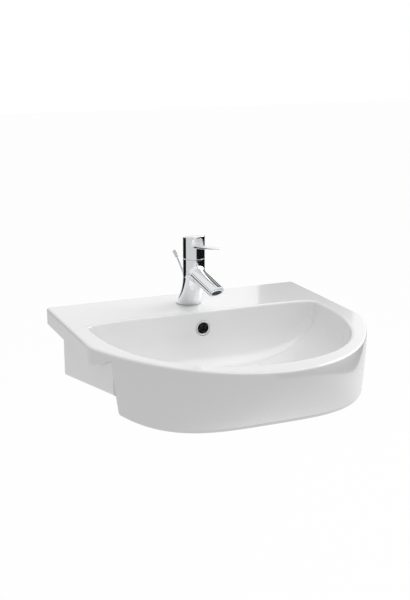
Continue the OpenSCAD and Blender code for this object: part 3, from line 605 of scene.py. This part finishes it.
chrome = Finish("polished_chrome")
chrome.coat(
    Metallic=1.0,
    Base_Color=chrome.mixed(chrome.noise(14.0), (0.80, 0.81, 0.825), (0.86, 0.87, 0.88)),
    Roughness=0.035 + chrome.noise(60.0, 4.0) * 0.05,
    Normal=chrome.bump(chrome.noise(240.0, 1.0), 0.02, 0.0002, edge=0.0004),
)
satin = Finish("satin_chrome")
cloudy = satin.noise(160.0, 3.0)
satin.coat(
    Metallic=1.0,
    Base_Color=satin.mixed(cloudy, (0.54, 0.54, 0.55), (0.66, 0.66, 0.67)),
    Roughness=0.16 + cloudy * 0.10,
    Normal=satin.bump(satin.noise(700.0, 2.0), 0.05, 0.0001, edge=0.0005),
)

bore, sleeve_r, ring_r, sleeve_end, ring_back, ring_face = 0.0111, 0.01195, 0.015, -0.009, -0.0002, 0.002
ring = eased([(bore, sleeve_end, 0), (sleeve_r, sleeve_end, 0.0003), (sleeve_r, ring_back, 0),
              (ring_r, ring_back, 0.0002), (ring_r, ring_face, 0.0013), (0.0122, ring_face, 0.0006),
              (bore, 0.0006, 0.0006)])
overflow_ring = turned("overflow_trim", ring, (0, ring_y, overflow_at), (0, -1, 0))
dress(overflow_ring, satin, "overflow_ring", "base")

# Waste
# A brass waste, chromed: its flange is bedded in the bowl's floor, and its plug rides on a rod below.
# The plug is a shallow dome on a stem with an eye for the pivot rod.
seat_z, flange_t = deck - bowl_d + 0.0015, 0.0025
flange_bore, neck_r, neck_end, flange_r = 0.015, 0.01745, -0.009, 0.0315
flange = eased([(flange_bore, flange_t, 0.0010), (flange_bore, neck_end, 0.0004), (neck_r, neck_end, 0.0003),
                (neck_r, 0, 0), (flange_r, 0, 0.0002), (flange_r, 0.0010, 0.0004), (0.0285, flange_t, 0.0018),
                (0.0195, 0.0019, 0.0010)])
flange = turned("waste_flange_polished", flange, (0, waste_y, seat_z), (0, 0, 1), 128)
dress(flange, chrome, "waste_flange", "base")

rod_lift, plug_arm, strap_arm = 0.036, 0.027, 0.1395
plug_travel, plug_gap = rod_lift * plug_arm / strap_arm, 0.001
plug_base = seat_z + flange_t + plug_travel + plug_gap
eye_z = deck - 0.165 + plug_arm * math.tan(math.asin(rod_lift / 2 / strap_arm))
plug_r, plug_stem_r, stem_end = 0.0175, 0.0040, eye_z + 0.004 - plug_base
dome = eased([(0.0002, 0.0030, 0), (0.0080, 0.00285, 0.003), (0.0140, 0.0022, 0.002),
              (plug_r, 0.0014, 0.0008), (plug_r, 0, 0.0003), (0.0162, 0, 0.0003),
              (plug_stem_r, 0, 0.0008), (plug_stem_r, stem_end, 0), (0.0002, stem_end, 0)])
plug = turned("waste_plug_dome", dome, (0, waste_y, plug_base), (0, 0, 1), 128, wrap=False)
eye_half, eye_t, eye_r, slack = 0.006, 0.003, 0.0033, 0.0003
eye = block("eye", (-eye_half, waste_y - eye_t, eye_z - eye_half),
            (eye_half, waste_y + eye_t, eye_z + eye_half))
carve(plug, eye, "UNION")
carve(plug, rod("eye hole", eye_r, (0, waste_y - 0.01, eye_z - slack), (0, waste_y + 0.01, eye_z - slack)))
dress(plug, chrome, "waste_plug", "plug_group")

# Tap body
# A cast brass body, turned, polished and chromed, that leans forward out of its flared foot.
# It ends at the split. The chamber in its top holds the cartridge, and its underside has the inlets, the
# fixing stud's thread and the hole for the pop-up rod.
axis_y, tap_lean, tap_r, tap_flare, crisp = -0.105, 0.028, 0.022, 0.004, 0.0002
gasket_t, foot_h, split_h = 0.0015, 0.062, 0.098
chamber_r, chamber_floor, chamber_top = 0.01755, 0.060, 0.12


def body_ring(h, draw=0.0):
    """One level of the body, at a height above the deck."""
    share = max(1 - (h - gasket_t) / (foot_h - gasket_t), 0)
    r = tap_r - draw
    if h <= foot_h:
        r = tap_r - crisp + tap_flare * share ** 2 - draw
    spot = axis_y + tap_lean * share ** 2
    return level(np.stack([r * np.cos(around(128)), spot + r * np.sin(around(128))], 1), deck + h)


levels = [body_ring(gasket_t + lift, draw) for lift, draw in ((0, 0.0006), (crisp, crisp), (0.0006, 0))]
levels += [body_ring(h) for h in np.linspace(gasket_t + 0.002, foot_h - 0.001, 40)]
levels += [body_ring(h) for h in np.linspace(foot_h + 0.002, split_h - 0.0006, 8)]
levels += [body_ring(split_h - crisp * (1 - math.sin(q)), crisp * (1 - math.cos(q))) for q in quarter(5)]
tap_body = outward(loft("mixer_body", levels))
inlet_x, inlet_y, stud_x, stud_y = 0.009, tap_y - 0.007, 0.008, tap_y + 0.012
rod_x, rod_y = -0.004, tap_y + 0.014
chamber = rod("chamber", chamber_r, (0, axis_y, deck + chamber_floor), (0, axis_y, deck + chamber_top), 96)
carve(tap_body, chamber)
for name, r, x, y, top in (
        ("inlet", 0.0045, -inlet_x, inlet_y, 0.0155),
        ("inlet", 0.0045, inlet_x, inlet_y, 0.0155),
        ("stud thread", 0.003, stud_x, stud_y, 0.0085),
        ("rod hole", 0.00255, rod_x, rod_y, 0.059)):
    carve(tap_body, rod(name, r, (x, y, deck), (x, y, deck + top)))
dress(tap_body, chrome, "tap_body", "base")

# Spout
# A thick round tube, brazed into the body and chromed, that runs down and forwards to a slanted end.
# The end has a small rounded edge and the aerator's recess.
spout_r, spout_fall, spout_reach, outlet_lean = 0.0145, math.radians(9), 0.112, math.radians(40)
spout_start, fillet, fillet_reach, edge_ease = 0.0150, 0.0032, 0.0075, 0.0011
spout_root = np.array([0, axis_y, deck + 0.072])
run = np.array([0, -math.cos(spout_fall), -math.sin(spout_fall)])
up = np.array([0, -math.sin(spout_fall), math.cos(spout_fall)])
inward = np.array([0, math.sin(outlet_lean), math.cos(outlet_lean)])
upward = np.array([0, -math.cos(outlet_lean), math.sin(outlet_lean)])
outlet = spout_root + run * spout_reach
t = around(128)
side_on = np.outer(np.cos(t), [1, 0, 0])


def spout_ring(r, share=1.0, back=0.0):
    """A ring of the tube: square to its axis at the root, and slanted like the end as the share grows."""
    end = spout_reach + (up @ inward) / -(run @ inward) * r * np.sin(t) - back / -(run @ inward)
    along = spout_start + (end - spout_start) * share
    out_of_body = along * math.cos(spout_fall) + r * np.sin(t) * math.sin(spout_fall)
    clear = out_of_body - np.sqrt(tap_r ** 2 - (r * np.cos(t)) ** 2)
    wide = r + fillet * (1 - np.clip(clear / fillet_reach, 0, 1)) ** 2.5
    return spout_root + np.outer(along, run) + wide[:, None] * (side_on + np.outer(np.sin(t), up))


def outlet_ring(r, depth):
    """A ring of the aerator's recess, at a depth behind the slanted end."""
    return outlet + inward * depth + r * (side_on + np.outer(np.sin(t), upward))


tube = [spout_ring(spout_r, share) for share in (*np.linspace(0, 0.17, 24), 0.3, 0.5, 0.7, 0.85, 0.93, 0.97)]
tube += [spout_ring(spout_r - edge_ease * (1 - math.cos(q)), 1.0, edge_ease * (1 - math.sin(q)))
         for q in quarter(7)]
recess_r, jet_r = 0.0120, 0.0085
tube += [outlet_ring(r, depth) for r, depth in (
    (recess_r + 0.0004, 0.0), (recess_r + 0.0001, 0.0001), (recess_r, 0.0004),
    (recess_r, 0.0065), (jet_r, 0.0066), (jet_r, 0.0095))]
spout = outward(loft("spout_tube", tube))
body_inside = 0.0185
carve(spout, rod("chamber", body_inside, (0, axis_y, deck + 0.05), (0, axis_y, deck + chamber_top), 96))
dress(spout, chrome, "spout", "base", 50)

# Aerator
# A chromed brass sleeve is screwed into the spout's end and stands a little proud.
# The dark plastic jet inside it stays as the solid has it.
sleeve_r, sleeve_bore, sleeve_len, groove_r, proud = 0.01195, 0.0100, 0.009, 0.01175, 0.0025
sleeve = eased([(sleeve_bore, sleeve_len, 0.0002), (sleeve_bore, 0, 0.0006), (sleeve_r, 0, 0.0006),
                (sleeve_r, 0.0018, 0.0002), (groove_r, 0.0021, 0.0002), (groove_r, 0.0026, 0.0002),
                (sleeve_r, 0.0029, 0.0002), (sleeve_r, sleeve_len, 0.0002)])
aerator = turned("aerator_sleeve", sleeve, tuple(outlet - inward * proud), tuple(inward))
dress(aerator, chrome, "aerator_housing", "base")

# Handle
# A cast brass cap, chromed, sits over the cartridge's dome with a leaning top and a hairline gap below it.
# A flat lever grows out of the vault in its front, and a grub screw at its back holds it on the stem.
cap_h, pivot_h, lever_h, lever_rise = 0.142, 0.090, 0.124, math.radians(8)
lever_reach, root_half, tip_half, root_t, tip_t = 0.116, 0.011, 0.0075, 0.006, 0.0025
lever_len = lever_reach / math.cos(lever_rise)
lever_root = np.array([0, axis_y, deck + lever_h])
lever_run = np.array([0, -math.cos(lever_rise), math.sin(lever_rise)])
lever_up = np.array([0, math.sin(lever_rise), math.cos(lever_rise)])
round_off, blade_round, dish_d = 0.0010, 0.0011, 0.0006

handle_chrome = Finish("handle_chrome")
rubbed = handle_chrome.noise(60.0, 4.0)
handle_chrome.coat(
    Metallic=1.0,
    Base_Color=handle_chrome.mixed(handle_chrome.noise(14.0), (0.80, 0.81, 0.825), (0.86, 0.87, 0.88)),
    Roughness=0.035 + rubbed * 0.05,
    Normal=handle_chrome.bump(rubbed, 0.01, 0.0002, edge=0.0011, samples=8),
)


def cap_ring(draw, drop):
    """One ring of the cap's top edge, on a plane that leans with the lever."""
    r = tap_r - draw
    y = r * np.sin(around(128))
    z = deck + cap_h - y * math.tan(lever_rise) - drop
    return np.stack([r * np.cos(around(128)), axis_y + y, z], 1)


cap_top = cap_ring(0, 0)
cap_rings = [level(cap_ring(draw, 0)[:, :2], deck + split_h + lift)
             for lift, draw in ((0.0006, crisp), (0.00065, 0.00006), (0.0008, 0))]
for k in (0.25, 0.5, 0.75):
    cap_rings.append(level(cap_top[:, :2], (deck + split_h) * (1 - k) + (cap_top[:, 2] - 0.003) * k))
cap_rings += [cap_ring(round_off * (1 - math.cos(q)), round_off * (1 - math.sin(q))) for q in quarter(7)]
handle = outward(loft("handle_cap", cap_rings))
vault_r, vault_h, vault_sink, vault_len = root_half + 0.0015, 0.003, 0.0005, 0.08
vault_root = lever_root - lever_run * 0.002
start_turn = -math.asin((vault_h + vault_sink) / vault_r)
turn = np.linspace(start_turn, math.pi - start_turn, 61)
arch = np.outer(vault_r * np.cos(turn), [1, 0, 0]) + np.outer(vault_h + vault_r * np.sin(turn), lever_up)
arch += vault_root
carve(handle, outward(loft("vault", [arch, arch + lever_run * vault_len])))


def blade_ring(s):
    """One cut across the lever: a flat blade with rounded edges that thins and narrows to a round tip."""
    share = s / lever_len
    half = root_half + (tip_half - root_half) * min(s / (lever_len - tip_half), 1)
    past = max(s - (lever_len - tip_half), 0)
    half = math.sqrt(max(half ** 2 - past ** 2, 1e-8))
    thick = root_t + (tip_t - root_t) * share
    r = min(blade_round, thick * 0.42, half * 0.9)
    points = []
    for cx, cz, first in ((half - r, -r, 0), (r - half, -r, 90),
                          (r - half, r - thick, 180), (half - r, r - thick, 270)):
        for q in np.radians(np.linspace(first, first + 90, 7)):
            points.append((cx + r * math.cos(q), cz + r * math.sin(q)))
    points = np.array(points)
    dish = dish_d * (1 - (points[:, 0] / half) ** 2) * (points[:, 1] > -thick / 2) * min(share * 4, 1)
    wide, high = np.outer(points[:, 0], [1, 0, 0]), np.outer(points[:, 1] - dish, lever_up)
    return lever_root + lever_run * s + wide + high


tip_cuts = lever_len - tip_half + tip_half * np.sin(np.radians(np.linspace(8, 88, 11)))
cuts = np.concatenate([np.linspace(0, lever_len - tip_half, 24), tip_cuts])
carve(handle, outward(loft("blade", [blade_ring(s) for s in cuts])), "UNION")
dome_r, stem_half, stem_top, screw_h, screw_r = 0.0194, 0.00355, 0.0275, 0.112, 0.0025
pivot_z, screw_z = deck + pivot_h, deck + screw_h
half_circle = [(dome_r * math.sin(q) + 0.00001, -dome_r * math.cos(q))
               for q in np.radians(np.linspace(0, 180, 37))]
carve(handle, turned("dome space", half_circle, (0, axis_y, pivot_z), (0, 0, 1), 96, wrap=False))
carve(handle, block("stem hole", (-stem_half, axis_y - stem_half, pivot_z),
                    (stem_half, axis_y + stem_half, pivot_z + stem_top)))
carve(handle, rod("screw hole", screw_r, (0, axis_y, screw_z), (0, axis_y + 0.03, screw_z)))
tilt, hairline, wedge_len, wedge_deep = math.radians(19), 0.0006, 0.044, -0.03
wedge = np.array([(0, hairline), (wedge_len, hairline), (wedge_len, wedge_deep), (0, wedge_deep)])
wedge = np.stack([wedge[:, 0] * math.cos(tilt) - wedge[:, 1] * math.sin(tilt),
                  wedge[:, 0] * math.sin(tilt) + wedge[:, 1] * math.cos(tilt)], 1)
wedge = [np.stack([np.full(4, x), axis_y + wedge[:, 0], deck + split_h + wedge[:, 1]], 1)
         for x in (-0.05, 0.05)]
carve(handle, outward(loft("wedge", wedge)))
dress(handle, handle_chrome, "handle", "mixer_lever", 35)

# Pop-up rod and knob
# A drawn steel rod, chromed, passes down through the body behind the tap's axis and is bent near its top.
# The turned knob is pressed on its end, with a groove for the fingers.
rod_r, rod_foot, bend_h, bend_r, rod_past = 0.0025, -0.176, 0.058, 0.006, 0.006
lean = np.array([-0.009, 0.013, 0.032])
lean_len = np.linalg.norm(lean)
lean_way = lean / lean_len
bend = np.array([rod_x, rod_y, deck + bend_h])
way = [bend + np.array([0, 0, z]) for z in (rod_foot, -0.12, -0.06, -0.02)]
start, end = bend - np.array([0, 0, bend_r]), bend + lean_way * bend_r
way += [bent(start, bend, end, k) for k in np.linspace(0, 1, 9)]
way.append(bend + lean_way * (lean_len + rod_past))
across = np.cross(lean, [0, 0, 1])
across = across / np.linalg.norm(across)
rings = []
for k, spot in enumerate(way):
    ahead = way[min(k + 1, len(way) - 1)] - way[max(k - 1, 0)]
    other = np.cross(ahead / np.linalg.norm(ahead), across)
    rings.append(spot + rod_r * (np.outer(np.cos(around(32)), across) + np.outer(np.sin(around(32)), other)))
lift_rod = outward(loft("lift_rod_bent", rings))
dress(lift_rod, satin, "lift_rod", "lift_rod_group", 50)
knob_bore, knob_deep, knob_neck, knob_groove, knob_r = 0.0026, 0.007, 0.0042, 0.0036, 0.0050
knob = eased([(knob_bore, knob_deep, 0), (knob_bore, 0, 0), (0.0032, 0, 0.0002), (knob_neck, 0.0015, 0.0004),
              (knob_neck, 0.0040, 0.0004), (knob_groove, 0.0048, 0.0004), (0.0044, 0.0056, 0.0004),
              (knob_r, 0.0138, 0.0012), (0.0040, 0.0156, 0.0008), (0.0002, 0.0160, 0),
              (0.0002, knob_deep, 0)])
knob = turned("lift_knob_turned", knob, tuple(bend + lean), tuple(lean), 48)
dress(knob, satin, "lift_knob", "lift_rod_group", 50)

# Metal, rubber and plastic parts that keep their solids
# These are turned, pressed or moulded parts whose shape the solids already have. Each gets a finish here.
# Steel is brushed along its length, brass shows the lathe's lines, and rubber and plastic are as moulded.
steel = Finish("brushed_steel")
drawn_out = steel.node("Mapping", {}, {"Vector": steel.place(), "Scale": (900.0, 900.0, 22.0)})
lines = steel.node("TexNoise", {}, {"Vector": drawn_out, "Scale": 1.0, "Detail": 3.0})
steel.coat(
    Metallic=1.0,
    Base_Color=steel.mixed(lines, (0.50, 0.50, 0.51), (0.62, 0.62, 0.63)),
    Roughness=0.26 + lines * 0.14,
    Normal=steel.bump(lines, 0.12, 0.0002),
)
brass = Finish("turned_brass")
lathe_lines = brass.node("TexWave", {"wave_type": "BANDS", "bands_direction": "Z"},
                         {"Vector": brass.place(), "Scale": 420.0, "Distortion": 0.6})
tarnish = brass.noise(45.0, 4.0)
brass.coat(
    Metallic=1.0,
    Base_Color=brass.mixed(tarnish, (0.62, 0.46, 0.20), (0.78, 0.62, 0.33)),
    Roughness=0.22 + tarnish * 0.16,
    Normal=brass.bump(lathe_lines, 0.10, 0.0001),
)
rubber = Finish("black_rubber")
bloom = rubber.noise(110.0, 5.0)
rubber.coat(
    Base_Color=rubber.mixed(bloom, (0.018, 0.018, 0.019), (0.045, 0.045, 0.044)),
    Roughness=0.58 + bloom * 0.20,
    Normal=rubber.bump(rubber.noise(900.0, 2.0), 0.15, 0.0001),
)
nylon = Finish("white_nylon")
flow = nylon.noise(80.0, 3.0)
nylon.coat(
    Base_Color=nylon.mixed(flow, (0.74, 0.73, 0.69), (0.82, 0.81, 0.78)),
    Roughness=0.38 + flow * 0.12,
    Normal=nylon.bump(nylon.noise(700.0, 2.0), 0.10, 0.0001),
)
silicone = Finish("pale_silicone")
haze = silicone.noise(90.0, 3.0)
silicone.coat(
    Base_Color=silicone.mixed(haze, (0.50, 0.50, 0.50), (0.60, 0.60, 0.59)),
    Roughness=0.40 + haze * 0.15,
    Normal=silicone.bump(silicone.noise(600.0, 2.0), 0.08, 0.0001),
)
dark_plastic = Finish("dark_plastic")
grain = dark_plastic.noise(300.0, 3.0)
dark_plastic.coat(
    Base_Color=dark_plastic.mixed(grain, (0.020, 0.021, 0.023), (0.050, 0.051, 0.054)),
    Roughness=0.42 + grain * 0.18,
    Normal=dark_plastic.bump(dark_plastic.noise(1200.0, 2.0), 0.12, 0.0001),
)
alumina = Finish("lapped_alumina")
speck = alumina.noise(500.0, 4.0)
alumina.coat(
    Base_Color=alumina.mixed(speck, (0.70, 0.68, 0.63), (0.80, 0.79, 0.75)),
    Roughness=0.10 + speck * 0.10,
    Normal=alumina.bump(speck, 0.03, 0.0001),
)
kept = {
    chrome: ("dome_cover", "indicator_plug", "clevis_screw", "pivot_nut", "waste_body"),
    steel: ("grub_screw", "horseshoe_washer", "clevis_strap", "pivot_rod"),
    brass: ("cartridge_stem", "cartridge_nut", "fixing_stud", "fixing_nut", "waste_backnut"),
    silicone: ("tap_gasket",),
    rubber: ("horseshoe_gasket", "flange_seal", "plug_seal", "under_washer"),
    nylon: ("cartridge_body", "stem_carrier", "seat_inner", "seat_outer"),
    dark_plastic: ("aerator_insert",),
    alumina: ("disc_fixed", "disc_moving"),
}
for finish, names in kept.items():
    for name in names:
        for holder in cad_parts[name].material_slots:
            holder.material = finish.material

# Studio
# A pale floor at the height a bathroom's floor would be, with wide soft lamps above and to the right.
# Dark and grey cards, seen only in reflections, draw the dark edges that polished metal has in a white room.
room = Finish("white room", bpy.data.worlds.new("white room"))
bpy.context.scene.world = room.material
direct = room.node("LightPath", {}, {}, "Is Camera Ray")
through = room.node("LightPath", {}, {}, "Is Transmission Ray")
mirrored = room.node("LightPath", {}, {}, "Is Glossy Ray")
open_view = room.node("Math", {"operation": "MAXIMUM"}, {0: direct, 1: through})
room_soft, room_mirrored = 0.585, 0.94
room.coat(
    Color=(1.0, 1.0, 1.0),
    Strength=room_soft + open_view * (1 - room_soft) + mirrored * (room_mirrored - room_soft),
)

floor_z, floor_half, floor_seen, floor_mirrored = deck - 0.85, 14, 0.97, 0.45
floor_mesh = bpy.data.meshes.new("floor")
floor_corners = [(x * floor_half, y * floor_half, floor_z) for x, y in ((-1, -1), (1, -1), (1, 1), (-1, 1))]
floor_mesh.from_pydata(floor_corners, [], [(0, 1, 2, 3)])
floor = bpy.data.objects.new("floor", floor_mesh)
bpy.context.scene.collection.objects.link(floor)
paving = Finish("pale_floor")
paving.coat(Base_Color=(0.80, 0.80, 0.80), Roughness=0.9, Specular_IOR_Level=0.0)
glow = paving.node("Emission", {}, {"Color": (1.0, 1.0, 1.0), "Strength": 1.0})
lit = Value(paving, paving.shader.outputs[0])
seen = paving.node("LightPath", {}, {}, "Is Camera Ray") * floor_seen
white_share = seen + paving.node("LightPath", {}, {}, "Is Glossy Ray") * floor_mirrored
over = paving.node("MixShader", {}, {0: white_share, 1: lit, 2: glow})
paving.tree.links.new(over.socket, paving.tree.nodes["Material Output"].inputs["Surface"])
floor_mesh.materials.append(paving.material)
floor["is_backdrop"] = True

card, grey_card = Finish("dark_card"), Finish("grey_card")
card.coat(Base_Color=(0.012, 0.012, 0.013), Roughness=0.9, Specular_IOR_Level=0.0)
grey_card.coat(Base_Color=(0.30, 0.30, 0.30), Roughness=0.9, Specular_IOR_Level=0.0)
for name, turn, spread, low, high, away, shade in (
        ("left card", 132, 29, -0.75, -0.30, 3.0, card),
        ("line card", 123, 8, 0.34, 0.52, 3.0, card),
        ("right card", -24.5, 61.5, -0.75, 0.0, 1.6, card),
        ("high card", 72, 20, 1.25, 2.4, 2.6, grey_card),
        ("far card", 56, 4.5, -0.30, 1.0, 3.0, card)):
    middle, half = math.radians(turn), away * math.tan(math.radians(spread))
    out = np.array([math.cos(middle), math.sin(middle), 0]) * away
    along = np.array([-math.sin(middle), math.cos(middle), 0]) * half
    corners = [tuple(out + k * along + np.array([0, 0, z]))
               for k, z in ((-1, low), (1, low), (1, high), (-1, high))]
    mesh = bpy.data.meshes.new(name)
    mesh.from_pydata(corners, [], [(0, 1, 2, 3)])
    mesh.materials.append(shade.material)
    sheet = bpy.data.objects.new(name, mesh)
    bpy.context.scene.collection.objects.link(sheet)
    sheet.visible_camera = sheet.visible_diffuse = sheet.visible_shadow = sheet.visible_transmission = False
    sheet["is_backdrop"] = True

for name, place, aim, size, power in (
        ("top lamp", (0.5, -0.45, 2.3), (0, -0.25, 0), 1.8, 15.5),
        ("right lamp", (2.1, -0.05, 1.3), (0, -0.25, 0), 1.6, 27.0)):
    lamp = bpy.data.objects.new(name, bpy.data.lights.new(name, "AREA"))
    lamp.data.shape, lamp.data.size, lamp.data.energy = "SQUARE", size, power
    lamp.location = place
    lamp.rotation_euler = (Vector(aim) - Vector(place)).to_track_quat("-Z", "Y").to_euler()
    bpy.context.scene.collection.objects.link(lamp)

size = {"cad": [list(corner) for corner in cad_box]}
size["visual"] = [list(corner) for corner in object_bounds()]
